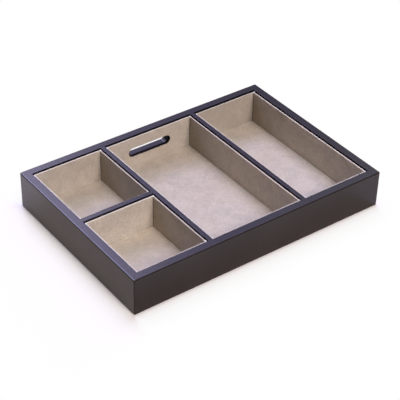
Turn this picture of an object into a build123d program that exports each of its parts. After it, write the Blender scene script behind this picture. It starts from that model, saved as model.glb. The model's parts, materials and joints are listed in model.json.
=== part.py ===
from build123d import *
import os

# Valet tray: a mitred, lacquered case with three dividers, and suede-covered
# cards that line its four open bays. Millimetres, +Z up, +Y towards the wall
# with the cord slot. The origin is the middle of the underside.

# Case
tray_length = 380.0
tray_depth = 260.6
wall_height = 51.6
wall_thickness = 11.8
divider_thickness = 6.7

# Bays, from board to board; the right bay and the back bay take what is left
left_bays_length = 102.5
middle_bay_length = 137.6
front_bay_depth = 115.3

# Rounded edges of the lacquered case
corner_radius = 1.6
rim_radius = 1.5
bay_edge_radius = 0.65
foot_radius = 0.3

# Base panel, let into a rebate round the foot of the walls
base_thickness = 2.4
rebate_width = 5.0
base_clearance = 0.2

# Felt that the tray stands on
felt_thickness = 0.6
felt_margin = 0.8
felt_corner_radius = 3.0

# Tongues on the dividers' ends, in housings that stop short of the rim
tongue_length = 3.0
tongue_shoulder = 1.75
tongue_drop = 8.0
housing_clearance = 0.1

# Splines hidden in the mitres
spline_thickness = 2.4
spline_width = 8.0
spline_end_margin = 6.0
spline_inset = 4.0
spline_clearance = 0.1
mitre_angle = 45.0

# Cord slot through the back wall and its liner. Its middle is measured from the
# walls' foot, and to the right from the middle of the middle bay
slot_length = 67.2
slot_height = 13.7
slot_rise = 26.85
slot_offset = 0.3
slot_edge_radius = 0.6

# Wall liners: a card in a suede cover that goes over its top and round its ends,
# and is turned in behind it. They stand a little off the boards, which leaves the
# dark line round the top of each bay
card_thickness = 1.0
suede_thickness = 0.45
liner_drop = 1.5
liner_standoff = 0.85
liner_edge_radius = 0.55
liner_clearance = 0.1
turn_in_width = 12.0

# Floor pads: a thinner card in a suede cover, dropped in between the liners
floor_card_thickness = 0.8
floor_clearance = 0.1
floor_edge_radius = 0.35

# A rounding never takes more than this share of the thickness that carries it
rounding_share = 0.45

# Cutting shapes run on past the faces that they cut
overrun = 2.0

# Heights
foot = felt_thickness
base_top = foot + base_thickness
rim = foot + wall_height
liner_height = rim - liner_drop - base_top
tongue_height = rim - tongue_drop - base_top
spline_height = rim - spline_end_margin - base_top - spline_end_margin

# Inside faces of the four walls
inner_right = tray_length / 2 - wall_thickness
inner_left = -inner_right
inner_back = tray_depth / 2 - wall_thickness
inner_front = -inner_back

# Faces of the dividers
left_divider_start = inner_left + left_bays_length
left_divider_end = left_divider_start + divider_thickness
right_divider_start = left_divider_end + middle_bay_length
right_divider_end = right_divider_start + divider_thickness
cross_divider_start = inner_front + front_bay_depth
cross_divider_end = cross_divider_start + divider_thickness

# Plan outlines, each as left, right, front and back
bays = {
    "front_bay": (inner_left, left_divider_start, inner_front, cross_divider_start),
    "back_bay": (inner_left, left_divider_start, cross_divider_end, inner_back),
    "middle_bay": (left_divider_end, right_divider_start, inner_front, inner_back),
    "right_bay": (right_divider_end, inner_right, inner_front, inner_back),
}
dividers = {
    "divider_left": (left_divider_start, left_divider_end, inner_front, inner_back),
    "divider_right": (right_divider_start, right_divider_end, inner_front, inner_back),
    "divider_cross": (inner_left, left_divider_start, cross_divider_start, cross_divider_end),
}

# A liner's thickness, and what it takes up on its side of a bay
liner_thickness = card_thickness + 2 * suede_thickness
liner_reach = liner_standoff + liner_thickness

# The face of the back wall round the slot, X to the right and Y up
middle_bay_centre = (left_divider_end + right_divider_start) / 2
slot_face = Plane(
    origin=(middle_bay_centre + slot_offset, inner_back, foot + slot_rise),
    x_dir=(1, 0, 0),
    z_dir=(0, -1, 0),
)

os.makedirs("parts", exist_ok=True)


def save(part, name):
    """Label a finished piece and write its file."""
    part.label = name
    export_step(part, f"parts/{name}.step")


def held_by(thickness, radius):
    """The rounding radius that a thickness can hold."""
    return min(radius, rounding_share * thickness)


def plan_box(outline, bottom, height, grow=0, mode=Mode.ADD):
    """A box over a plan outline, grown by an amount past each of its sides."""
    left, right, front, back = outline
    with Locations(((left + right) / 2, (front + back) / 2, bottom)):
        Box(
            right - left + 2 * grow,
            back - front + 2 * grow,
            height,
            align=(Align.CENTER, Align.CENTER, Align.MIN),
            mode=mode,
        )


# Splines, one across each mitre


def splines(clearance, mode=Mode.ADD):
    """The four splines, grown by a clearance to make their pockets."""
    across = inner_right + spline_inset
    along = inner_back + spline_inset
    with GridLocations(2 * across, 2 * along, 2, 2) as corners:
        places = [corner.position for corner in corners.local_locations]
    for place in places:
        turn = -mitre_angle if place.X * place.Y > 0 else mitre_angle
        bottom = base_top + spline_end_margin - clearance
        with Locations(Location((place.X, place.Y, bottom), (0, 0, turn))):
            Box(
                spline_width + 2 * clearance,
                spline_thickness + 2 * clearance,
                spline_height + 2 * clearance,
                align=(Align.CENTER, Align.CENTER, Align.MIN),
                mode=mode,
            )


with BuildPart() as corner_splines:
    splines(0)
save(corner_splines.part, "corner_splines")


# Case blank: the boards as one body, with the edges that the lacquer carries
# on from board to board, the rebate and the pockets for the splines

with BuildPart() as case_blank:
    with BuildSketch(Plane.XY.offset(foot)) as case_plan:
        Rectangle(tray_length, tray_depth)
        fillet(case_plan.vertices(), corner_radius)
    extrude(amount=wall_height)
    for bay in bays.values():
        plan_box(bay, 0, rim + overrun, mode=Mode.SUBTRACT)
    rim_face = case_blank.faces().sort_by(Axis.Z)[-1]
    fillet(rim_face.outer_wire().edges(), held_by(wall_thickness, rim_radius))
    rim_face = case_blank.faces().sort_by(Axis.Z)[-1]
    bay_edges = [wire.edges() for wire in rim_face.inner_wires()]
    fillet(bay_edges, held_by(divider_thickness, bay_edge_radius))
    foot_face = case_blank.faces().sort_by(Axis.Z)[0]
    fillet(foot_face.outer_wire().edges(), foot_radius)
    inside = (inner_left, inner_right, inner_front, inner_back)
    plan_box(inside, 0, base_top, grow=rebate_width, mode=Mode.SUBTRACT)
    splines(spline_clearance, mode=Mode.SUBTRACT)


# Tongues: a bar inside each divider runs on into the boards at its ends


def tongues(name, clearance=0, mode=Mode.ADD):
    """A divider's inner bar, grown by a clearance to make its housings."""
    left, right, front, back = dividers[name]
    if name == "divider_cross":
        bar = (
            left - tongue_length,
            right + tongue_length,
            front + tongue_shoulder,
            back - tongue_shoulder,
        )
    else:
        bar = (
            left + tongue_shoulder,
            right - tongue_shoulder,
            front - tongue_length,
            back + tongue_length,
        )
    plan_box(bar, base_top, tongue_height + clearance, grow=clearance, mode=mode)


# Walls: cut from the blank along the mitres


def cut_wall(corners):
    """Keep what stands over an outline, and cut the housings it carries."""
    with BuildSketch() as outline:
        with BuildLine():
            Polyline(*corners, close=True)
        make_face()
    extrude(outline.sketch, amount=rim + overrun, mode=Mode.INTERSECT)
    for name in dividers:
        tongues(name, housing_clearance, mode=Mode.SUBTRACT)


past_x = tray_length / 2 + overrun
past_y = tray_depth / 2 + overrun
past_front_left = (-past_x, -past_y)
past_front_right = (past_x, -past_y)
past_back_left = (-past_x, past_y)
past_back_right = (past_x, past_y)
front_left = (inner_left, inner_front)
front_right = (inner_right, inner_front)
back_left = (inner_left, inner_back)
back_right = (inner_right, inner_back)

with BuildPart() as front_wall:
    add(case_blank)
    cut_wall([past_front_left, past_front_right, front_right, front_left])
save(front_wall.part, "front_wall")

with BuildPart() as left_wall:
    add(case_blank)
    cut_wall([past_front_left, front_left, back_left, past_back_left])
save(left_wall.part, "left_wall")

with BuildPart() as right_wall:
    add(case_blank)
    cut_wall([past_front_right, past_back_right, back_right, front_right])
save(right_wall.part, "right_wall")


def cut_slot():
    """Cut the slot through whatever stands in front of the back wall, and through the wall."""
    start = liner_reach + overrun
    with BuildSketch(slot_face.offset(start)) as pill:
        SlotOverall(slot_length, slot_height)
    extrude(pill.sketch, amount=-(start + wall_thickness + overrun), mode=Mode.SUBTRACT)


with BuildPart() as back_wall:
    add(case_blank)
    cut_wall([past_back_left, back_left, back_right, past_back_right])
    cut_slot()
    slot_edges = back_wall.edges(Select.LAST).filter_by(Plane.XZ)
    fillet(slot_edges, held_by(wall_thickness, slot_edge_radius))
save(back_wall.part, "back_wall")


# Dividers: what is left of the blank between the bays, with their tongues

for name, outline in dividers.items():
    with BuildPart() as divider:
        add(case_blank)
        plan_box(outline, 0, rim + overrun, mode=Mode.INTERSECT)
        tongues(name)
        if name == "divider_left":
            tongues("divider_cross", housing_clearance, mode=Mode.SUBTRACT)
    save(divider.part, name)


# Base panel and felt

with BuildPart() as base_panel:
    plan_box(inside, foot, base_thickness, grow=rebate_width - base_clearance)
save(base_panel.part, "base_panel")

with BuildPart() as base_felt:
    with BuildSketch() as felt_outline:
        Rectangle(tray_length - 2 * felt_margin, tray_depth - 2 * felt_margin)
        fillet(felt_outline.vertices(), felt_corner_radius)
    extrude(amount=felt_thickness)
save(base_felt.part, "base_felt")


# Wall liners. The front and back ones fill their bay from end to end, and the
# side ones fit between them


def liner_place(bay, side):
    """The plane across a liner's end, X out of the board and Y up, and its length."""
    left, right, front, back = bay
    corner, outward = {
        "front": ((left, front, base_top), (0, 1, 0)),
        "back": ((right, back, base_top), (0, -1, 0)),
        "left": ((left, back, base_top), (1, 0, 0)),
        "right": ((right, front, base_top), (-1, 0, 0)),
    }[side]
    along = Vector(outward).cross(Vector(0, 0, 1))
    if side in ("front", "back"):
        span = right - left
        gap = liner_standoff
    else:
        span = back - front
        gap = liner_reach + liner_clearance
    start = Vector(corner) + Vector(outward) * liner_standoff + along * gap
    return Plane(origin=start, x_dir=outward, z_dir=along), span - 2 * gap


def wall_card(bay, side):
    """The card inside a wall liner, within its cover's face, top and ends."""
    end, length = liner_place(bay, side)
    with BuildPart() as card:
        with BuildSketch(end.offset(suede_thickness)):
            with Locations((suede_thickness, 0)):
                Rectangle(
                    card_thickness,
                    liner_height - suede_thickness,
                    align=(Align.MIN, Align.MIN),
                )
        extrude(amount=length - 2 * suede_thickness)
    return card.part


def wall_suede(bay, side):
    """The cover of a wall liner: face, ends, rounded top and the margin turned in behind."""
    end, length = liner_place(bay, side)
    corner = (Align.MIN, Align.MIN)
    with BuildPart() as suede:
        with BuildSketch(end):
            Rectangle(liner_thickness, liner_height, align=corner)
        extrude(amount=length)
        top = suede.faces().sort_by(Axis.Z)[-1]
        face = suede.faces().sort_by(Axis(end.origin, end.x_dir))[-1]
        folds = top.edges().filter_by(Axis(end.origin, end.z_dir))
        folds += face.edges().filter_by(Axis.Z)
        fillet(folds, held_by(liner_thickness, liner_edge_radius))
        add(wall_card(bay, side), mode=Mode.SUBTRACT)
        with BuildSketch(end.offset(turn_in_width)):
            Rectangle(suede_thickness, liner_height - turn_in_width, align=corner)
        extrude(amount=length - 2 * turn_in_width, mode=Mode.SUBTRACT)
    return suede.part


for bay_name, bay in bays.items():
    for side in ("front", "back", "left", "right"):
        with BuildPart() as card:
            add(wall_card(bay, side))
            if (bay_name, side) == ("middle_bay", "back"):
                cut_slot()
        save(card.part, f"{bay_name}_{side}_card")
        with BuildPart() as suede:
            add(wall_suede(bay, side))
            if (bay_name, side) == ("middle_bay", "back"):
                cut_slot()
        save(suede.part, f"{bay_name}_{side}_suede")


# Floor pads: the suede goes over the card's top and down its four sides

pad_inset = liner_reach + floor_clearance
pad_height = floor_card_thickness + suede_thickness

for bay_name, bay in bays.items():
    with BuildPart() as floor_card:
        plan_box(bay, base_top, floor_card_thickness, grow=-(pad_inset + suede_thickness))
    save(floor_card.part, f"{bay_name}_floor_card")

    with BuildPart() as floor_suede:
        plan_box(bay, base_top, pad_height, grow=-pad_inset)
        top_edges = floor_suede.faces().sort_by(Axis.Z)[-1].edges()
        fillet(top_edges, held_by(suede_thickness, floor_edge_radius))
        add(floor_card, mode=Mode.SUBTRACT)
    save(floor_suede.part, f"{bay_name}_floor_suede")
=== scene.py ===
"""Looks of a valet tray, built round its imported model, in metres.

The lacquered boards, cards and splines keep their own solids and get their finish here. The suede
on the liners and floor pads and the felt underneath are cloth: each is modelled as the sheet that
it is, and stands for its plain solid.
"""

import json
import logging
import math
from collections.abc import Callable, Iterable
from dataclasses import dataclass, field
from enum import Enum

import bmesh
import bpy
from mathutils import Matrix, Vector, noise


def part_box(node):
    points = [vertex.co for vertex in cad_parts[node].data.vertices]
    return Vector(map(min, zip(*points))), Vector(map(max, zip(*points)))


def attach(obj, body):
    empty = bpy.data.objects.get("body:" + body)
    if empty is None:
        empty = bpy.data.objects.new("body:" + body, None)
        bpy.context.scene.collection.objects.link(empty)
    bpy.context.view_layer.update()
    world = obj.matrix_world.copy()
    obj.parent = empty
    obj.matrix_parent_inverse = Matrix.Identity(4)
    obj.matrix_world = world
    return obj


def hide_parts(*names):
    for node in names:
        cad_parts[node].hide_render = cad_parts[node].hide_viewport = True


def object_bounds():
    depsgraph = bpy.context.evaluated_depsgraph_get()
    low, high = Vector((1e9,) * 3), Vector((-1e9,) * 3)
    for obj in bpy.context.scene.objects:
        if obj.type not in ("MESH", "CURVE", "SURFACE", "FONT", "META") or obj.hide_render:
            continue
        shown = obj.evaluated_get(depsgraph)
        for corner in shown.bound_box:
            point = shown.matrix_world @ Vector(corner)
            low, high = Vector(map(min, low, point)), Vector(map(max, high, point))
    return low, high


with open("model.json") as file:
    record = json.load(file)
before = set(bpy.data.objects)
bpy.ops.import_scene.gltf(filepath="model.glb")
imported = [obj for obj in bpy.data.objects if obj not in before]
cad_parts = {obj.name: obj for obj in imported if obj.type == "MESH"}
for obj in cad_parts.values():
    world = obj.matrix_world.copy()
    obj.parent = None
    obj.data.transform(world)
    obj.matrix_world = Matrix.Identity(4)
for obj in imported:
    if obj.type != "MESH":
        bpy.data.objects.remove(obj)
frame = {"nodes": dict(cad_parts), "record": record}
cad_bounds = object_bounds()

log = logging.getLogger("valet_tray")

BODY = "root"
BAYS = ("front_bay", "back_bay", "middle_bay", "right_bay")

# How close two places count as one, in metres: on a finished mesh, and on a plain box
NEAR = 1e-5
TINY = 1e-6

Triple = tuple[float, float, float]
Colour = Triple
Range = tuple[float, float]
Socket = bpy.types.NodeSocket


class Axis(Enum):
    """The direction that a board's grain runs in."""

    ALONG = 0
    ACROSS = 1


class Side(Enum):
    """A side of a bay, named as its liner is."""

    FRONT = "front"
    BACK = "back"
    LEFT = "left"
    RIGHT = "right"

    @property
    def facing(self) -> Vector:
        """The direction that the side's liner faces, into its bay."""
        return {
            Side.FRONT: Vector((0, 1, 0)),
            Side.BACK: Vector((0, -1, 0)),
            Side.LEFT: Vector((1, 0, 0)),
            Side.RIGHT: Vector((-1, 0, 0)),
        }[self]

    @property
    def along(self) -> int:
        """The index of the axis that the side's liner runs along."""
        return 0 if self in (Side.FRONT, Side.BACK) else 1


# Materials


class Coat:
    """A material in the making: one Principled shader and the nodes that feed it."""

    def __init__(self, name: str, **plain: float | Colour) -> None:
        """Start a material.

        Args:
            name: The material's name.
            plain: Values that are the same all over, by socket name with _ for a space.
        """
        self.material = bpy.data.materials.new(name)
        self.material.use_nodes = True
        self.tree = self.material.node_tree
        self.shader = self.tree.nodes["Principled BSDF"]
        for key, value in plain.items():
            socket = self.shader.inputs[key.replace("_", " ")]
            socket.default_value = (*value, 1.0) if isinstance(value, tuple) else value
        self.place = self.add("ShaderNodeTexCoord").outputs["Object"]

    def add(self, kind: str, **settings: object) -> bpy.types.Node:
        """Add a node.

        Args:
            kind: The node's type.
            settings: Its properties.

        Returns:
            The node.
        """
        node = self.tree.nodes.new(kind)
        for key, value in settings.items():
            setattr(node, key, value)
        return node

    def feed(self, socket: Socket, value: Socket | float | Colour) -> None:
        """Link a socket to another one, or set it to a number or a colour.

        Args:
            socket: The input.
            value: What it gets.
        """
        if isinstance(value, bpy.types.NodeSocket):
            self.tree.links.new(value, socket)
        elif isinstance(value, tuple) and len(socket.default_value) > len(value):
            socket.default_value = (*value, 1.0)
        else:
            socket.default_value = value

    def attribute(self, name: str) -> Socket:
        """A number that the mesh carries at each vertex."""
        return self.add("ShaderNodeAttribute", attribute_name=name).outputs["Fac"]

    def stretched(self, scale: Triple) -> Socket:
        """The piece's coordinates, drawn out by a scale along each axis.

        Args:
            scale: The scale along X, Y and Z.

        Returns:
            The coordinates.
        """
        node = self.add("ShaderNodeMapping")
        self.feed(node.inputs["Vector"], self.place)
        node.inputs["Scale"].default_value = scale
        return node.outputs["Vector"]

    def grain(
        self, scale: float, detail: float = 2.0, distortion: float = 0.0, at: Socket | None = None
    ) -> Socket:
        """Soft noise about 0.5.

        Args:
            scale: Its features in a metre.
            detail: How many finer layers it has.
            distortion: How far it is stirred.
            at: The coordinates, the piece's own if none are given.

        Returns:
            The noise's value.
        """
        node = self.add("ShaderNodeTexNoise")
        self.feed(node.inputs["Vector"], at or self.place)
        node.inputs["Scale"].default_value = scale
        node.inputs["Detail"].default_value = detail
        node.inputs["Distortion"].default_value = distortion
        return node.outputs["Fac"]

    def spread(
        self, value: Socket, start: float, end: float, low: float = 0.0, high: float = 1.0
    ) -> Socket:
        """Map a range of a value onto another range, smoothly and held at its ends.

        Args:
            value: The value.
            start: Where the value's range starts.
            end: Where it ends.
            low: What the start becomes.
            high: What the end becomes.

        Returns:
            The mapped value.
        """
        node = self.add("ShaderNodeMapRange", interpolation_type="SMOOTHSTEP")
        for key, number in zip(
            ("Value", "From Min", "From Max", "To Min", "To Max"), (value, start, end, low, high)
        ):
            self.feed(node.inputs[key], number)
        return node.outputs["Result"]

    def blend(self, share: Socket | float, first: Socket | Colour, second: Socket | Colour) -> Socket:
        """Mix two colours.

        Args:
            share: The second colour's share.
            first: The colour at a share of 0.
            second: The colour at a share of 1.

        Returns:
            The mixed colour.
        """
        node = self.add("ShaderNodeMix", data_type="RGBA")
        self.feed(node.inputs["Factor"], share)
        self.feed(node.inputs[6], first)
        self.feed(node.inputs[7], second)
        return node.outputs[2]

    def maths(self, operation: str, first: Socket | float, second: Socket | float) -> Socket:
        """Combine two numbers.

        Args:
            operation: The operation's name.
            first: The first number.
            second: The second number.

        Returns:
            The result.
        """
        node = self.add("ShaderNodeMath", operation=operation)
        self.feed(node.inputs[0], first)
        self.feed(node.inputs[1], second)
        return node.outputs[0]

    def vector_maths(self, operation: str, first: Socket, second: Triple | None = None) -> Socket:
        """Work on a vector.

        Args:
            operation: The operation's name.
            first: The vector.
            second: What it is combined with, if anything.

        Returns:
            The result, a number if the operation is LENGTH.
        """
        node = self.add("ShaderNodeVectorMath", operation=operation)
        self.feed(node.inputs[0], first)
        if second is not None:
            self.feed(node.inputs[1], second)
        return node.outputs["Value" if operation == "LENGTH" else "Vector"]

    def parts(self, vector: Socket) -> tuple[Socket, Socket, Socket]:
        """Take a vector apart.

        Args:
            vector: The vector.

        Returns:
            Its X, Y and Z.
        """
        node = self.add("ShaderNodeSeparateXYZ")
        self.feed(node.inputs[0], vector)
        return node.outputs[0], node.outputs[1], node.outputs[2]

    def shaded(self, colour: Socket | Colour, share: Socket) -> Socket:
        """Multiply a colour by a number.

        Args:
            colour: The colour.
            share: The number.

        Returns:
            The lighter or darker colour.
        """
        node = self.add("ShaderNodeVectorMath", operation="SCALE")
        self.feed(node.inputs[0], colour)
        self.feed(node.inputs["Scale"], share)
        return node.outputs[0]

    def raised(
        self, height: Socket, distance: float, strength: float, over: Socket | None = None
    ) -> Socket:
        """Turn a height into a bumped normal.

        Args:
            height: The height, from 0 to 1.
            distance: What 1 stands for, in metres.
            strength: How much of the bump is kept.
            over: A normal that it adds to.

        Returns:
            The normal.
        """
        node = self.add("ShaderNodeBump")
        self.feed(node.inputs["Height"], height)
        node.inputs["Distance"].default_value = distance
        node.inputs["Strength"].default_value = strength
        if over is not None:
            self.feed(node.inputs["Normal"], over)
        return node.outputs["Normal"]

    def finish(self, **fed: Socket) -> bpy.types.Material:
        """Feed the shader.

        Args:
            fed: What its inputs get, by socket name with _ for a space.

        Returns:
            The material.
        """
        for key, value in fed.items():
            self.feed(self.shader.inputs[key.replace("_", " ")], value)
        return self.material


@dataclass(frozen=True)
class Lacquer:
    """Black stain under clear satin lacquer, with the wood's pores just showing through.

    The lacquer is rubbed down and polished on the outside and on the rim, and less so in the round
    ends of the cord slot. Inside the bays, just above the liners, only the dull stain shows. Where the
    lacquer is unpolished its colour is also darkened as painted shade: most in the gap over the
    liners, less in the slot's round ends.
    """

    name: str
    grain_along: Axis
    stain: Colour = (0.010, 0.0065, 0.0068)
    rubbed: Colour = (0.022, 0.018, 0.018)
    stain_roughness: float = 0.6
    stain_shine: float = 0.05
    index: float = 1.45
    smooth: float = 0.20
    pore_scale: float = 260.0
    pore_stretch: float = 12.0
    pore_depth: float = 0.00003
    ripple_scale: float = 240.0
    ripple_depth: float = 0.00003
    cloud_scale: float = 28.0
    cloud_share: float = 0.35
    dust_scale: float = 1900.0
    dust_share: float = 0.25
    # Share of the colour kept where the lacquer is unpolished: painted shade
    unpolished_painted_shade: float = 0.3
    dull_below: float = -0.00003
    polished_above: float = -0.000002
    outer_band: float = 0.009
    slot_end_polish: float = 0.35
    slot_overrun: float = 0.001
    slot_easing: float = 0.0008

    @property
    def pore_scales(self) -> Triple:
        """The pores' scale along each axis, least along the grain."""
        fine = self.pore_stretch
        return (fine, 1.0, fine) if self.grain_along is Axis.ACROSS else (1.0, fine, fine)

    def material(self) -> bpy.types.Material:
        """Make the material.

        Returns:
            The material.
        """
        coat = Coat(
            self.name,
            Roughness=self.stain_roughness,
            Specular_IOR_Level=self.stain_shine,
            Coat_Roughness=self.smooth,
            Coat_IOR=self.index,
        )
        pores = coat.grain(self.pore_scale, 3.0, 0.3, coat.stretched(self.pore_scales))
        ripple = coat.grain(self.ripple_scale, 1.0)
        clouds = coat.spread(coat.grain(self.cloud_scale, 3.0, 0.4), 0.35, 0.75, 0.0, self.cloud_share)
        dust = coat.spread(coat.grain(self.dust_scale, 1.0), 0.68, 0.78, 0.0, self.dust_share)
        polish = self.polish(coat)
        colour = coat.blend(coat.maths("MULTIPLY", clouds, polish), self.stain, self.rubbed)
        colour = coat.blend(dust, colour, self.rubbed)
        # Darken the colour where the lacquer is unpolished: painted shade in the gap above the liners,
        # and some in the slot's round ends
        colour = coat.shaded(colour, coat.spread(polish, 0.0, 1.0, self.unpolished_painted_shade, 1.0))
        normal = coat.raised(ripple, self.ripple_depth, 0.25)
        normal = coat.raised(pores, self.pore_depth, 0.2, normal)
        return coat.finish(Base_Color=colour, Normal=normal, Coat_Weight=polish, Coat_Normal=normal)

    def polish(self, coat: Coat) -> Socket:
        """Work out where the lacquer is polished.

        Args:
            coat: The material in the making.

        Returns:
            1 outside and on the rim, 0 inside the bays.
        """
        high = cad_bounds[1]
        x, y, z = coat.parts(coat.place)
        polished = coat.spread(z, high[2] + self.dull_below, high[2] + self.polished_above)
        for value, edge in ((x, high[0]), (y, high[1])):
            away = coat.maths("ABSOLUTE", value, 0.0)
            outside = coat.maths("GREATER_THAN", away, edge - self.outer_band)
            polished = coat.maths("MAXIMUM", polished, outside)
        return coat.maths("MULTIPLY", polished, self.slot_polish(coat, x, y, z))

    def slot_polish(self, coat: Coat, x: Socket, y: Socket, z: Socket) -> Socket:
        """Work out how much polish the cord slot keeps.

        Args:
            coat: The material in the making.
            x: The place along X.
            y: The place along Y.
            z: The place along Z.

        Returns:
            Less in the slot's round ends, and 1 elsewhere.
        """
        slot = CordSlot()
        centre = slot.centre()
        away = coat.maths("ABSOLUTE", coat.maths("SUBTRACT", x, centre.x), 0.0)
        in_end: Socket | float = 1.0
        for test, value, limit in (
            ("GREATER_THAN", away, slot.straight / 2),
            ("LESS_THAN", away, slot.length / 2 + self.slot_overrun),
            ("GREATER_THAN", y, 0.0),
            ("LESS_THAN", y, centre.y - self.slot_easing),
            ("LESS_THAN", z, centre.z + slot.height),
        ):
            in_end = coat.maths("MULTIPLY", in_end, coat.maths(test, value, limit))
        return coat.spread(in_end, 0.0, 1.0, 1.0, self.slot_end_polish)


@dataclass(frozen=True)
class Suede:
    """Brushed suede: a soft nap, mottled where it lies this way and that, with a painted highlight on its
    folds.

    It reads the shares that each sheet carries: its level, which stands for the lay of its nap and for
    painted light and shade, a painted shade colour on the right-hand liners, which face away from the
    light, a painted highlight along the top fold, and painted shade in creases.
    """

    name: str = "suede_nap"
    warm: Colour = (0.510, 0.477, 0.404)
    cool: Colour = (0.502, 0.482, 0.421)
    # Painted shade colour for the right-hand liners, which face away from the light
    painted_side_shade_colour: Colour = (0.506, 0.440, 0.345)
    # Painted highlight colour along the top fold
    painted_fold_highlight_colour: Colour = (0.800, 0.830, 0.810)
    # Painted shade level in creases, tucks and the shaded top
    painted_crease_shade_level: float = 0.22
    roughness: float = 0.95
    index: float = 1.35
    sheen: float = 0.18
    sheen_roughness: float = 0.45
    sheen_tint: Colour = (1.0, 0.95, 0.9)
    patch_scale: float = 55.0
    patch_shades: Range = (0.92, 1.07)
    brushed_scale: float = 340.0
    brushed_shades: Range = (0.91, 1.09)
    brushed_depth: float = 0.0004
    fibre_scale: float = 1400.0
    fibre_shades: Range = (0.78, 1.20)
    fibre_depth: float = 0.00025

    def material(self) -> bpy.types.Material:
        """Make the material.

        Returns:
            The material.
        """
        coat = Coat(
            self.name,
            Roughness=self.roughness,
            IOR=self.index,
            Sheen_Weight=self.sheen,
            Sheen_Roughness=self.sheen_roughness,
            Sheen_Tint=self.sheen_tint,
        )
        patches = coat.grain(self.patch_scale, 3.0, 0.8)
        tone = coat.grain(self.patch_scale / 3, 2.0, 0.5)
        brushed = coat.grain(self.brushed_scale, 3.0, 1.2)
        fibres = coat.grain(self.fibre_scale, 3.0)
        colour = coat.blend(coat.spread(tone, 0.35, 0.65), self.warm, self.cool)
        # Painted shade colour on the right-hand liners
        colour = coat.blend(coat.attribute("painted_side_shade"), colour, self.painted_side_shade_colour)
        # Painted light and shade: each piece's level, with its change towards the back
        shade = coat.attribute("nap_and_painted_light")
        for pattern, shades in (
            (patches, self.patch_shades),
            (brushed, self.brushed_shades),
            (fibres, self.fibre_shades),
        ):
            shade = coat.maths("MULTIPLY", shade, coat.spread(pattern, 0.25, 0.75, *shades))
        colour = coat.shaded(colour, shade)
        # Painted highlight along the top fold
        colour = coat.blend(coat.spread(coat.attribute("painted_fold_highlight"), 0.0, 1.0), colour, self.painted_fold_highlight_colour)
        # Painted shade in creases, where the cloth is tucked, and on the shaded top
        dark = coat.spread(coat.attribute("painted_crease_shade"), 0.0, 1.0, 1.0, self.painted_crease_shade_level)
        colour = coat.shaded(colour, dark)
        normal = coat.raised(brushed, self.brushed_depth, 0.25)
        normal = coat.raised(fibres, self.fibre_depth, 0.45, normal)
        return coat.finish(Base_Color=colour, Normal=normal)


@dataclass(frozen=True)
class Felt:
    """Pressed wool felt, charcoal, with matted fibres."""

    name: str = "pressed_felt"
    dark: Colour = (0.016, 0.016, 0.018)
    light: Colour = (0.050, 0.050, 0.055)
    fibre_scale: float = 1500.0
    fibre_depth: float = 0.0003
    tuft_scale: float = 300.0
    tuft_shades: Range = (0.8, 1.15)
    tuft_depth: float = 0.0004

    def material(self) -> bpy.types.Material:
        """Make the material.

        Returns:
            The material.
        """
        coat = Coat(self.name, Roughness=1.0, Sheen_Weight=0.3, Sheen_Roughness=0.6)
        fibres = coat.grain(self.fibre_scale, 4.0, 2.5)
        tufts = coat.grain(self.tuft_scale, 3.0, 1.0)
        colour = coat.blend(coat.spread(fibres, 0.3, 0.7), self.dark, self.light)
        colour = coat.shaded(colour, coat.spread(tufts, 0.3, 0.7, *self.tuft_shades))
        normal = coat.raised(tufts, self.tuft_depth, 0.4)
        normal = coat.raised(fibres, self.fibre_depth, 0.7, normal)
        return coat.finish(Base_Color=colour, Normal=normal)


@dataclass(frozen=True)
class Card:
    """Black board, pressed from dyed paper pulp with paler flecks."""

    name: str = "black_board"
    pulp: Colour = (0.010, 0.009, 0.009)
    fleck: Colour = (0.030, 0.028, 0.027)
    fleck_scale: float = 1400.0
    fleck_share: float = 0.5
    ply_scale: float = 700.0
    ply_stretch: Triple = (0.3, 0.3, 3.0)
    ply_shades: Range = (0.92, 1.06)
    ply_depth: float = 0.0001

    def material(self) -> bpy.types.Material:
        """Make the material.

        Returns:
            The material.
        """
        coat = Coat(self.name, Roughness=0.9)
        flecks = coat.grain(self.fleck_scale, 2.0, 1.5)
        flecks = coat.spread(flecks, 0.60, 0.72, 0.0, self.fleck_share)
        plies = coat.grain(self.ply_scale, 2.0, 0.0, coat.stretched(self.ply_stretch))
        colour = coat.blend(flecks, self.pulp, self.fleck)
        colour = coat.shaded(colour, coat.spread(plies, 0.3, 0.7, *self.ply_shades))
        normal = coat.raised(plies, self.ply_depth, 0.4)
        return coat.finish(Base_Color=colour, Normal=normal)


@dataclass(frozen=True)
class BareWood:
    """Planed wood with its grain along one axis, unfinished."""

    name: str
    early: Colour
    late: Colour
    stretch: Triple = (1.0, 10.0, 10.0)
    ring_scale: float = 40.0
    pore_scale: float = 400.0
    pore_shades: Range = (0.85, 1.03)
    pore_depth: float = 0.0001

    def material(self) -> bpy.types.Material:
        """Make the material.

        Returns:
            The material.
        """
        coat = Coat(self.name, Roughness=0.7)
        at = coat.stretched(self.stretch)
        rings = coat.grain(self.ring_scale, 4.0, 1.5, at)
        pores = coat.grain(self.pore_scale, 2.0, 0.2, at)
        colour = coat.blend(coat.spread(rings, 0.35, 0.65), self.early, self.late)
        colour = coat.shaded(colour, coat.spread(pores, 0.3, 0.6, *self.pore_shades))
        normal = coat.raised(pores, self.pore_depth, 0.5)
        return coat.finish(Base_Color=colour, Normal=normal)


# Cloth


def block(low: Vector, high: Vector) -> bmesh.types.BMesh:
    """Start a mesh from a box.

    Args:
        low: Its lowest corner.
        high: Its highest corner.

    Returns:
        The mesh.
    """
    mesh = bmesh.new()
    size = Matrix.Diagonal((*(high - low), 1.0))
    bmesh.ops.create_cube(mesh, size=1.0, matrix=Matrix.Translation((low + high) / 2) @ size)
    return mesh


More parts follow.
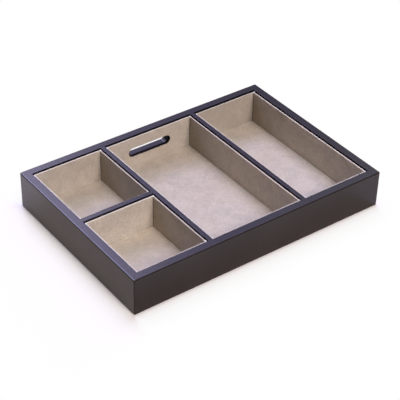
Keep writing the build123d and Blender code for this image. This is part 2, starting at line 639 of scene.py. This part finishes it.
def rounded(
    mesh: bmesh.types.BMesh, edges: Iterable[bmesh.types.BMEdge], radius: float, steps: int
) -> None:
    """Round edges.

    Args:
        mesh: The mesh.
        edges: The edges.
        radius: Their rounding radius.
        steps: The faces that each rounding has.
    """
    bmesh.ops.bevel(
        mesh,
        geom=list(edges),
        offset=radius,
        offset_type="OFFSET",
        segments=steps,
        profile=0.5,
        affect="EDGES",
        clamp_overlap=True,
        material=-1,
    )


def sliced(mesh: bmesh.types.BMesh, axis: int, start: float, end: float, step: float) -> None:
    """Cut a mesh across an axis at even places.

    Args:
        mesh: The mesh.
        axis: The axis' index.
        start: The first cut.
        end: The last cut.
        step: About how far apart the cuts are.
    """
    count = max(1, round((end - start) / step))
    normal = Vector([float(index == axis) for index in range(3)])
    for index in range(count + 1):
        place = normal * (start + (end - start) * index / count)
        everything = [*mesh.verts, *mesh.edges, *mesh.faces]
        bmesh.ops.bisect_plane(mesh, geom=everything, dist=TINY, plane_co=place, plane_no=normal)


def midpoint(edge: bmesh.types.BMEdge) -> Vector:
    """The middle of an edge."""
    return (edge.verts[0].co + edge.verts[1].co) / 2


def dropped(mesh: bmesh.types.BMesh, unwanted: Callable[[bmesh.types.BMFace], bool]) -> None:
    """Delete faces.

    Args:
        mesh: The mesh.
        unwanted: Says which faces go.
    """
    gone = [face for face in mesh.faces if unwanted(face)]
    bmesh.ops.delete(mesh, geom=gone, context="FACES")


def looks_down(face: bmesh.types.BMFace) -> bool:
    """Whether a face looks straight down."""
    return face.normal.z < -0.99


@dataclass
class Cloth:
    """A piece cut from cloth and glued over or under something.

    Its brightness stands for the lay of its nap and for painted light and shade: a set share of painted
    shade darkens it over the last stretch of its length towards the back, and a negative share paints
    light there instead. The fold along its top carries a painted highlight, but painted shade where its
    normal points into the bay less than a set limit. Elsewhere painted shade lies on its bends and where
    it is tucked against a neighbour.
    """

    name: str
    node: str
    thickness: float
    flat: tuple[float, float]
    held: str
    rests_on: list[str]
    # Painted light and shade: the piece's level, its side colour share and its change towards the back
    nap_and_painted_light: float = 1.0
    painted_side_shade: float = 0.0
    painted_shade_to_back: float = 0.0
    top_fold_highlight: bool = True
    facing: Vector | None = None
    shaded_from: float = -1.0
    tucked: tuple[tuple[int, float], ...] = ()
    tuck_shade_width: float = 0.0006
    painted_shade_stretch: float = 0.09
    bend_gain: float = 6.0
    least_rise: float = 0.05
    unevenness: float = 0.00012
    waviness: float = 60.0
    fine_waviness: float = 186.0
    fine_share: float = 0.4
    sharp_angle: float = 50.0

    def thicken(self, mesh: bmesh.types.BMesh) -> None:
        """Give the sheet its thickness, inwards, and mark its painted highlight, light and shade on its
        vertices.

        Args:
            mesh: The outer skin.
        """
        bmesh.ops.recalc_face_normals(mesh, faces=mesh.faces)
        mesh.normal_update()
        painted_fold_highlight = mesh.verts.layers.float.new("painted_fold_highlight")
        painted_crease_shade = mesh.verts.layers.float.new("painted_crease_shade")
        nap_and_painted_light = mesh.verts.layers.float.new("nap_and_painted_light")
        painted_side_shade = mesh.verts.layers.float.new("painted_side_shade")
        far_end = max(vert.co.y for vert in mesh.verts)
        for vert in mesh.verts:
            flatness = max(abs(part) for part in vert.normal)
            bend = min(1.0, max(0.0, (1.0 - flatness) * self.bend_gain))
            on_top = self.top_fold_highlight and vert.normal.z > self.least_rise
            shaded = on_top and self.in_shade(vert.normal)
            # Painted highlight along the top fold, except where the top is in painted shade
            vert[painted_fold_highlight] = bend if on_top and not shaded else 0.0
            # Painted shade on a shaded top, and below the top on bends and where the cloth is tucked
            vert[painted_crease_shade] = float(shaded) if on_top else max(bend, self.tuck_shade(vert.co))
            # Painted shade towards the back, or painted light where the share is negative
            share = max(0.0, 1.0 - (far_end - vert.co.y) / self.painted_shade_stretch)
            vert[nap_and_painted_light] = self.nap_and_painted_light * (1.0 - self.painted_shade_to_back * share)
            # Share of the painted shade colour, for a liner that faces away from the light
            vert[painted_side_shade] = self.painted_side_shade
        bmesh.ops.solidify(mesh, geom=list(mesh.faces), thickness=self.thickness)

    def in_shade(self, normal: Vector) -> bool:
        """Whether the fold along the top gets painted shade where it has this normal."""
        return self.facing is not None and normal.dot(self.facing) < self.shaded_from

    def tuck_shade(self, place: Vector) -> float:
        """Say 1 where the cloth is tucked against its neighbour and gets painted shade, and 0 elsewhere.
        """
        return float(any(abs(place[axis] - level) < self.tuck_shade_width for axis, level in self.tucked))

    def settle(
        self,
        mesh: bmesh.types.BMesh,
        out: Vector,
        level: float,
        keep: Callable[[Vector], float] | None = None,
    ) -> None:
        """Let the outer face swell and sink a little, as glued cloth does.

        Args:
            mesh: The mesh.
            out: The direction that the face looks in.
            level: The face's place along that direction.
            keep: The share of the swelling that a place gets, if not all of it.
        """
        for vert in mesh.verts:
            if abs(vert.co.dot(out) - level) < NEAR:
                swell = noise.noise(vert.co * self.waviness)
                swell += self.fine_share * noise.noise(vert.co * self.fine_waviness)
                share = keep(vert.co) if keep else 1.0
                vert.co += out * (swell * self.unevenness * share)

    def place(self, mesh: bmesh.types.BMesh, material: bpy.types.Material, slot: str) -> bpy.types.Object:
        """Make the mesh a piece that stands for its node.

        Args:
            mesh: The finished mesh.
            material: Its finish.
            slot: The record's material slot, not used.

        Returns:
            The piece.
        """
        bmesh.ops.recalc_face_normals(mesh, faces=mesh.faces)
        data = bpy.data.meshes.new(self.name)
        mesh.to_mesh(data)
        mesh.free()
        data.shade_smooth()
        data.set_sharp_from_angle(angle=math.radians(self.sharp_angle))
        data.materials.append(material)
        piece = bpy.data.objects.new(self.name, data)
        bpy.context.scene.collection.objects.link(piece)
        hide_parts(self.node)
        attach(piece, BODY)
        log.info("%s: %d faces", self.name, len(data.polygons))
        return piece


@dataclass(frozen=True)
class CordSlot:
    """The pill-shaped slot through the back wall, cut through the liner in front of it too."""

    mount: str = "cord_slot"
    length: float = 0.0672
    height: float = 0.0137
    border: float = 0.004
    steps: int = 40

    @property
    def straight(self) -> float:
        """The length of the slot's straight part."""
        return self.length - self.height

    def centre(self) -> Vector:
        """The middle of the slot, on the wall's outer face."""
        mounts = {mount["name"]: mount for mount in frame["record"]["mounts"]}
        return Vector(mounts[self.mount]["pos_m"])

    def distance(self, place: Vector) -> float:
        """How far a place on the wall is from the slot's edge, outside it.

        Args:
            place: The place.

        Returns:
            The distance, negative inside the slot.
        """
        away = place - self.centre()
        past = max(0.0, abs(away.x) - self.straight / 2)
        return math.hypot(past, away.z) - self.height / 2

    def cut(self, mesh: bmesh.types.BMesh, level: float) -> None:
        """Cut the slot out of a face that looks to the front.

        Args:
            mesh: The mesh.
            level: The face's place along Y.
        """
        centre = self.centre()
        centre.y = level
        reach = Vector((self.length / 2 + self.border, 0, self.height / 2 + self.border))
        for axis in (0, 2):
            sliced(mesh, axis, centre[axis] - reach[axis], centre[axis] + reach[axis], 2 * reach[axis])
        before = set(mesh.edges)
        dropped(mesh, lambda face: self.within(face.calc_center_median() - centre, reach))
        open_edges = [edge for edge in mesh.edges if edge.is_boundary]
        mouth = [edge for edge in open_edges if self.within(midpoint(edge) - centre, reach)]
        turned = Matrix.Rotation(math.radians(90.0), 4, "X")
        turned = turned @ Matrix.Rotation(math.pi / self.steps, 4, "Z")
        ring = bmesh.ops.create_circle(
            mesh, segments=self.steps, radius=self.height / 2, matrix=Matrix.Translation(centre) @ turned
        )["verts"]
        for vert in ring:
            vert.co.x += math.copysign(self.straight / 2, vert.co.x - centre.x)
        added = [edge for edge in mesh.edges if edge not in before]
        rim = [edge for edge in added if all(vert in ring for vert in edge.verts)]
        bmesh.ops.triangle_fill(mesh, use_beauty=True, edges=[*mouth, *rim], normal=(0, -1, 0))

    @staticmethod
    def within(away: Vector, reach: Vector) -> bool:
        """Whether a place is on the face and inside a rectangle round the slot."""
        return all(abs(away[axis]) < reach[axis] + NEAR for axis in range(3))


@dataclass
class WallLiners:
    """The suede covers of the liners round one bay's walls."""

    bay: str
    thickness: float = 0.00045
    fold_radius: float = 0.00055
    fold_steps: int = 5
    turn_in: float = 0.012
    mesh_step: float = 0.005
    # A cut this far from each end, so that the painted shade at the corners fades out within it
    corner_shade: float = 0.0018
    # Painted shade over the back of the right-hand liners in the two long bays
    painted_shade_to_back: float = 0.34
    slotted: tuple[str, Side] = ("middle_bay", Side.BACK)
    slot: CordSlot = CordSlot()
    # Each liner's level: partly its nap's lay, partly painted light and shade
    panel_nap_and_painted_light: dict[tuple[str, Side], float] = field(
        default_factory=lambda: {
            ("front_bay", Side.BACK): 1.12,
            ("front_bay", Side.RIGHT): 0.80,
            ("back_bay", Side.RIGHT): 0.69,
            ("middle_bay", Side.RIGHT): 1.02,
            ("right_bay", Side.RIGHT): 1.04,
            ("right_bay", Side.BACK): 0.84,
        }
    )
    # Painted shade on the top fold where its normal points into the bay less than this
    shaded_from: dict[tuple[str, Side], float] = field(
        default_factory=lambda: {
            ("back_bay", Side.FRONT): 0.2,
            ("middle_bay", Side.BACK): 0.0,
            ("middle_bay", Side.RIGHT): -0.3,
            ("right_bay", Side.BACK): 0.2,
        }
    )

    def build(self, material: bpy.types.Material) -> None:
        """Make the covers of the bay's four liners.

        Args:
            material: The suede.
        """
        for side in Side:
            self.cover(side, material)

    def cover(self, side: Side, material: bpy.types.Material) -> bpy.types.Object:
        """Make one liner's cover.

        Args:
            side: The side of the bay.
            material: The suede.

        Returns:
            The cover.
        """
        node = f"{self.bay}_{side.value}_suede"
        low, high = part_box(node)
        size, along, out = high - low, side.along, side.facing
        mesh = self.skin(side, low, high)
        cloth = Cloth(
            name=f"{self.bay}_{side.value}_cover",
            node=node,
            thickness=self.thickness,
            flat=(size.z + size[1 - along] + self.turn_in, size[along] + 2 * self.turn_in),
            held="stretched",
            rests_on=[f"{self.bay}_{side.value}_card"],
            nap_and_painted_light=self.panel_nap_and_painted_light.get((self.bay, side), 1.0),
            painted_side_shade=float(side is Side.RIGHT),
            painted_shade_to_back=self.painted_shade_to_back if self.paints_shade_to_back(side) else 0.0,
            facing=out,
            shaded_from=self.shaded_from.get((self.bay, side), -1.0),
            tucked=((along, low[along]), (along, high[along])),
        )
        cloth.thicken(mesh)
        keep = self.flat_by_slot if self.has_slot(side) else None
        cloth.settle(mesh, out, max(low.dot(out), high.dot(out)), keep)
        return cloth.place(mesh, material, "suede")

    def skin(self, side: Side, low: Vector, high: Vector) -> bmesh.types.BMesh:
        """Shape the outer face of one liner's cover.

        Args:
            side: The side of the bay.
            low: The cover's lowest corner.
            high: The cover's highest corner.

        Returns:
            The skin, open underneath and behind.
        """
        mesh = block(low, high)
        rounded(mesh, self.wrapped_edges(mesh, side, low, high), self.fold_radius, self.fold_steps)
        along = side.along
        start, end = low[along], high[along]
        sliced(mesh, along, start + self.turn_in, end - self.turn_in, self.mesh_step)
        sliced(mesh, 2, low.z + self.mesh_step, high.z - self.turn_in, self.mesh_step)
        sliced(mesh, along, start + self.corner_shade, end - self.corner_shade, end - start)
        dropped(mesh, looks_down)
        dropped(mesh, lambda face: self.behind(face, side, low, high))
        if self.has_slot(side):
            self.slot.cut(mesh, low.y)
        return mesh

    def has_slot(self, side: Side) -> bool:
        """Whether the cord slot goes through a liner."""
        return (self.bay, side) == self.slotted

    def paints_shade_to_back(self, side: Side) -> bool:
        """Whether painted shade darkens the liner towards the back, as on the right of the two long bays.
        """
        return side is Side.RIGHT and self.bay in ("middle_bay", "right_bay")

    def flat_by_slot(self, place: Vector) -> float:
        """The share of the swelling that a place near the slot keeps."""
        return min(1.0, max(0.0, self.slot.distance(place) / self.slot.border - 1.0))

    @staticmethod
    def wrapped_edges(
        mesh: bmesh.types.BMesh, side: Side, low: Vector, high: Vector
    ) -> list[bmesh.types.BMEdge]:
        """Find the edges that the suede goes round.

        Args:
            mesh: The liner's box.
            side: The side of the bay.
            low: The box's lowest corner.
            high: The box's highest corner.

        Returns:
            The long top edges and the upright ones towards the bay.
        """
        middle = (low + high) / 2
        found = []
        for edge in mesh.edges:
            centre = midpoint(edge) - middle
            upright = abs(centre.z) < TINY
            long_top = centre.z > 0 and abs(centre[side.along]) < TINY
            if long_top or (upright and centre.dot(side.facing) > 0):
                found.append(edge)
        return found

    def behind(self, face: bmesh.types.BMFace, side: Side, low: Vector, high: Vector) -> bool:
        """Find out whether a face is where the card's back stays bare.

        Args:
            face: The face.
            side: The side of the bay.
            low: The cover's lowest corner.
            high: The cover's highest corner.

        Returns:
            Whether it is on the back, inside the margin that is turned in.
        """
        centre, out, along = face.calc_center_median(), side.facing, side.along
        if abs(centre.dot(out) - min(low.dot(out), high.dot(out))) > NEAR:
            return False
        ends = min(centre[along] - low[along], high[along] - centre[along])
        return centre.z < high.z - self.turn_in and ends > self.turn_in


@dataclass
class FloorPad:
    """The suede cover of one bay's floor pad."""

    bay: str
    thickness: float = 0.00043
    edge_radius: float = 0.0004
    edge_steps: int = 4
    mesh_step: float = 0.006
    nap_and_painted_light: float = 0.93
    # Painted light that brightens each floor pad towards the back wall
    painted_light_stretch: float = 0.045
    painted_light_to_back: dict[str, float] = field(
        default_factory=lambda: {
            "front_bay": 0.31,
            "back_bay": 0.12,
            "middle_bay": 0.12,
            "right_bay": 0.10,
        }
    )

    def build(self, material: bpy.types.Material) -> bpy.types.Object:
        """Make the cover.

        Args:
            material: The suede.

        Returns:
            The cover.
        """
        node = f"{self.bay}_floor_suede"
        low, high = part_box(node)
        mesh = block(low, high)
        edges = [edge for edge in mesh.edges if max(vert.co.z for vert in edge.verts) > high.z - TINY]
        rounded(mesh, edges, self.edge_radius, self.edge_steps)
        for axis in (0, 1):
            sliced(mesh, axis, low[axis] + self.mesh_step, high[axis] - self.mesh_step, self.mesh_step)
        dropped(mesh, looks_down)
        size = high - low
        cloth = Cloth(
            name=f"{self.bay}_floor_cover",
            node=node,
            thickness=self.thickness,
            flat=(size.x + 2 * size.z, size.y + 2 * size.z),
            held="stretched",
            rests_on=[f"{self.bay}_floor_card"],
            nap_and_painted_light=self.nap_and_painted_light,
            painted_shade_to_back=-self.painted_light_to_back[self.bay],
            painted_shade_stretch=self.painted_light_stretch,
            top_fold_highlight=False,
        )
        cloth.thicken(mesh)
        cloth.settle(mesh, Vector((0, 0, 1)), high.z)
        return cloth.place(mesh, material, "suede")


@dataclass
class Underside:
    """The felt that the tray stands on."""

    node: str = "base_felt"
    corner_radius: float = 0.003
    corner_steps: int = 8
    mesh_step: float = 0.01

    def build(self, material: bpy.types.Material) -> bpy.types.Object:
        """Make the felt.

        Args:
            material: Its finish.

        Returns:
            The felt.
        """
        low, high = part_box(self.node)
        mesh = block(low, high)
        upright = [edge for edge in mesh.edges if abs(edge.verts[0].co.z - edge.verts[1].co.z) > TINY]
        rounded(mesh, upright, self.corner_radius, self.corner_steps)
        for axis in (0, 1):
            sliced(mesh, axis, low[axis] + self.mesh_step, high[axis] - self.mesh_step, self.mesh_step)
        size = high - low
        cloth = Cloth(
            name="underside_felt",
            node=self.node,
            thickness=size.z,
            flat=(size.x, size.y),
            held="laid",
            rests_on=["base_panel"],
        )
        return cloth.place(mesh, material, "felt")


# Boards


@dataclass
class Case:
    """The lacquered boards, with the splines and the base inside them."""

    lengthwise: tuple[str, ...] = ("front_wall", "back_wall", "divider_cross")
    crosswise: tuple[str, ...] = ("left_wall", "right_wall", "divider_left", "divider_right")

    def dress(self) -> None:
        """Give every board its finish."""
        along = Lacquer("lacquer_lengthwise", Axis.ALONG).material()
        across = Lacquer("lacquer_crosswise", Axis.ACROSS).material()
        for name in self.lengthwise:
            dress(name, along)
        for name in self.crosswise:
            dress(name, across)
        spline = BareWood("spline_beech", (0.52, 0.33, 0.18), (0.42, 0.25, 0.13), (10.0, 10.0, 1.0))
        panel = BareWood("base_plywood", (0.50, 0.36, 0.22), (0.36, 0.24, 0.14))
        dress("corner_splines", spline.material())
        dress("base_panel", panel.material())


def dress(name: str, material: bpy.types.Material) -> None:
    """Give a node that keeps its solid a finish.

    Args:
        name: The node.
        material: Its finish.
    """
    node = frame["nodes"][name]
    node.material_slots[0].material = material
    log.info("%s: %s", name, material.name)


# Studio


@dataclass(frozen=True)
class Lamp:
    """A large soft lamp, far off."""

    name: str
    azimuth: float
    elevation: float
    width: float
    level: float
    colour: Colour

    def place(self) -> bpy.types.Object:
        """Hang the lamp.

        Azimuth is measured from +Y towards +X, and a level of 1 lights a surface square to the
        lamp so that white renders as white.

        Returns:
            The lamp.
        """
        data = bpy.data.lights.new(self.name, "SUN")
        data.angle = math.radians(self.width)
        data.energy = self.level * math.pi
        data.color = self.colour
        lamp = bpy.data.objects.new(self.name, data)
        turn, rise = math.radians(self.azimuth), math.radians(self.elevation)
        towards = Vector(
            (math.sin(turn) * math.cos(rise), math.cos(turn) * math.cos(rise), math.sin(rise))
        )
        lamp.rotation_euler = towards.to_track_quat("Z", "Y").to_euler()
        bpy.context.scene.collection.objects.link(lamp)
        return lamp


@dataclass(frozen=True)
class WhiteFloor:
    """A white sweep that washes out to pure white a little way from the tray.

    It is lit by the lamps, but the camera and the reflections see more and more of a plain white
    with the distance from the tray's foot, so only the soft shadow close to the foot shows. On the
    left the shadow reaches further, and it is deeper partly because the floor's colour there is
    darker: painted shade. From below the floor can be seen through.
    """

    size: float = 12.0
    colour: Colour = (0.90, 0.91, 0.90)
    # Darker, warmer floor colour to the left of the tray: painted shade
    painted_shade_colour_left: Colour = (0.80, 0.81, 0.73)
    wash_distance: float = 0.0034
    wash_left: float = 0.022
    wash_limit: float = 1.07
    mirrored: float = 0.42
    mirrored_left: float = 0.64
    mirrored_far: float = 0.10
    mirrored_white: Colour = (0.49, 0.38, 0.305)
    white: Colour = (1.0, 1.0, 1.0)
    far_blend: float = 0.04
    left_blend: float = 0.03

    def lay(self) -> bpy.types.Object:
        """Lay the floor.

        Returns:
            The floor.
        """
        mesh = bmesh.new()
        bmesh.ops.create_grid(mesh, x_segments=1, y_segments=1, size=self.size / 2)
        data = bpy.data.meshes.new("floor")
        mesh.to_mesh(data)
        mesh.free()
        data.materials.append(self.material())
        plane = bpy.data.objects.new("floor", data)
        bpy.context.scene.collection.objects.link(plane)
        return plane

    def material(self) -> bpy.types.Material:
        """Make the floor's material.

        Returns:
            The material.
        """
        coat = Coat("floor_white", Roughness=0.6)
        away, leftward = self.beyond_foot(coat)
        # Darker floor colour to the left of the tray: painted shade
        colour = coat.blend(leftward, self.colour, self.painted_shade_colour_left)
        coat.feed(coat.shader.inputs["Base Color"], colour)
        path = coat.add("ShaderNodeLightPath").outputs
        reach = coat.spread(leftward, 0.0, 1.0, self.wash_distance, self.wash_left)
        seen = coat.maths("MAXIMUM", path["Is Camera Ray"], path["Is Transmission Ray"])
        seen = coat.maths("MULTIPLY", seen, self.washed(coat, away, reach))
        mirrored = coat.maths("MULTIPLY", path["Is Glossy Ray"], self.mirrored_share(coat))
        mirrored = coat.maths("MULTIPLY", mirrored, self.washed(coat, away, self.wash_distance))
        share = coat.maths("MINIMUM", coat.maths("MAXIMUM", seen, mirrored), 1.0)
        wash = coat.add("ShaderNodeEmission")
        shade = coat.blend(path["Is Glossy Ray"], self.white, self.mirrored_white)
        coat.feed(wash.inputs["Color"], shade)
        sweep = self.mixed(coat, share, coat.shader.outputs[0], wash.outputs[0])
        below = coat.add("ShaderNodeNewGeometry").outputs["Backfacing"]
        clear = coat.add("ShaderNodeBsdfTransparent")
        shown = self.mixed(coat, below, sweep, clear.outputs[0])
        coat.feed(coat.tree.nodes["Material Output"].inputs["Surface"], shown)
        return coat.material

    def mirrored_share(self, coat: Coat) -> Socket:
        """Work out how far reflections see the floor washed out.

        Args:
            coat: The material in the making.

        Returns:
            The share: its own on the left, which falls towards the back, and even elsewhere.
        """
        low, high = cad_bounds
        x, y, _ = coat.parts(coat.place)
        near, far = high[1] - self.far_blend, high[1] + self.far_blend
        on_left = coat.spread(y, near, far, self.mirrored_left, self.mirrored_far)
        left = coat.spread(x, low[0], low[0] + self.left_blend, 1.0, 0.0)
        gained = coat.maths("MULTIPLY", left, coat.maths("SUBTRACT", on_left, self.mirrored))
        return coat.maths("ADD", gained, self.mirrored)

    def washed(self, coat: Coat, away: Socket, reach: Socket | float) -> Socket:
        """How far the floor is washed out at a distance, for the distance where it is half so."""
        share = coat.maths("DIVIDE", away, coat.maths("ADD", away, reach))
        return coat.maths("MULTIPLY", share, self.wash_limit)

    @staticmethod
    def beyond_foot(coat: Coat) -> tuple[Socket, Socket]:
        """Work out where a place on the floor is, seen from the tray's foot.

        Args:
            coat: The material in the making.

        Returns:
            Its distance from the foot, and how far its direction is to the left, from 0 to 1.
        """
        low, high = cad_bounds
        half = ((high[0] - low[0]) / 2, (high[1] - low[1]) / 2, 0.0)
        beyond = coat.vector_maths("ABSOLUTE", coat.place)
        beyond = coat.vector_maths("SUBTRACT", beyond, half)
        beyond = coat.vector_maths("MAXIMUM", beyond, (0.0, 0.0, 0.0))
        away = coat.vector_maths("LENGTH", beyond)
        sideways = coat.maths("DIVIDE", coat.parts(beyond)[0], coat.maths("MAXIMUM", away, TINY))
        on_left = coat.maths("LESS_THAN", coat.parts(coat.place)[0], 0.0)
        return away, coat.maths("MULTIPLY", sideways, on_left)

    @staticmethod
    def mixed(coat: Coat, share: Socket, first: Socket, second: Socket) -> Socket:
        """Mix two shaders.

        Args:
            coat: The material that they are in.
            share: The second shader's share.
            first: The shader at a share of 0.
            second: The shader at a share of 1.

        Returns:
            The mixed shader.
        """
        node = coat.add("ShaderNodeMixShader")
        coat.feed(node.inputs["Fac"], share)
        coat.tree.links.new(first, node.inputs[1])
        coat.tree.links.new(second, node.inputs[2])
        return node.outputs[0]


@dataclass
class Studio:
    """A white floor, soft lamps and the camera at the photograph's place.

    The camera is rolled so far that its right side points up by camera_rise.
    """

    floor: WhiteFloor = WhiteFloor()
    mirrored_room: float = 0.10
    camera_place: Triple = (-0.8243, -1.0947, 1.0258)
    camera_forward: Triple = (0.48282, 0.6414, -0.59624)
    camera_rise: float = 0.01946
    lens: float = 118.5
    lamps: list[Lamp] = field(
        default_factory=lambda: [
            Lamp("front_lamp", 180.0, 45.0, 20.0, 0.70, (1.0, 0.834, 0.790)),
            Lamp("front_fill", 165.0, 45.0, 20.0, 0.18, (1.0, 0.834, 0.790)),
            Lamp("window", 0.0, 45.0, 50.0, 0.53, (0.87, 0.81, 1.0)),
            Lamp("window_edge", 15.0, 45.0, 20.0, 0.40, (0.50, 0.48, 1.0)),
            Lamp("window_side", 30.0, 45.0, 30.0, 0.055, (0.47, 0.43, 1.0)),
            Lamp("side_lamp", 60.0, 45.0, 30.0, 0.085, (0.88, 0.92, 1.0)),
            Lamp("skylight", 30.0, 62.0, 30.0, 0.07, (0.70, 0.78, 1.0)),
            Lamp("window_far", 330.0, 40.0, 20.0, 0.08, (0.86, 0.84, 1.0)),
        ]
    )

    def build(self) -> None:
        """Set up the floor, the light and the camera."""
        self.floor.lay()
        self.world()
        for lamp in self.lamps:
            lamp.place()
        self.camera()
        bpy.context.scene.view_settings.view_transform = "Standard"

    def world(self) -> None:
        """Make the room white to look at, dimmer in reflections, and dark as a light."""
        world = bpy.data.worlds.new("studio")
        world.use_nodes = True
        bpy.context.scene.world = world
        nodes, links = world.node_tree.nodes, world.node_tree.links
        path = nodes.new("ShaderNodeLightPath").outputs
        strength = path["Is Camera Ray"]
        for ray, share in (("Is Transmission Ray", 1.0), ("Is Glossy Ray", self.mirrored_room)):
            dimmed = nodes.new("ShaderNodeMath")
            dimmed.operation = "MULTIPLY"
            links.new(path[ray], dimmed.inputs[0])
            dimmed.inputs[1].default_value = share
            either = nodes.new("ShaderNodeMath")
            either.operation = "MAXIMUM"
            links.new(strength, either.inputs[0])
            links.new(dimmed.outputs[0], either.inputs[1])
            strength = either.outputs[0]
        white = nodes["Background"]
        white.inputs["Color"].default_value = (1.0, 1.0, 1.0, 1.0)
        links.new(strength, white.inputs["Strength"])

    def camera(self) -> bpy.types.Object:
        """Put the camera where the photograph was taken from.

        Returns:
            The camera.
        """
        data = bpy.data.cameras.new("camera")
        data.lens = self.lens
        camera = bpy.data.objects.new("camera", data)
        forward = Vector(self.camera_forward).normalized()
        level = forward.cross(Vector((0, 0, 1))).normalized()
        upright = level.cross(forward)
        roll = math.asin(self.camera_rise / upright.z)
        right = level * math.cos(roll) + upright * math.sin(roll)
        up = right.cross(forward)
        turn = Matrix((right, up, -forward)).transposed()
        camera.matrix_world = Matrix.Translation(self.camera_place) @ turn.to_4x4()
        bpy.context.scene.collection.objects.link(camera)
        bpy.context.scene.camera = camera
        return camera


def main() -> None:
    """Build the studio, dress the boards and make the cloth."""
    logging.basicConfig(level=logging.INFO, format="%(message)s")
    Studio().build()
    Case().dress()
    suede = Suede().material()
    card = Card().material()
    for bay in BAYS:
        WallLiners(bay).build(suede)
        FloorPad(bay).build(suede)
        for part in ("front", "back", "left", "right", "floor"):
            dress(f"{bay}_{part}_card", card)
    Underside().build(Felt().material())


if __name__ == "__main__":
    main()
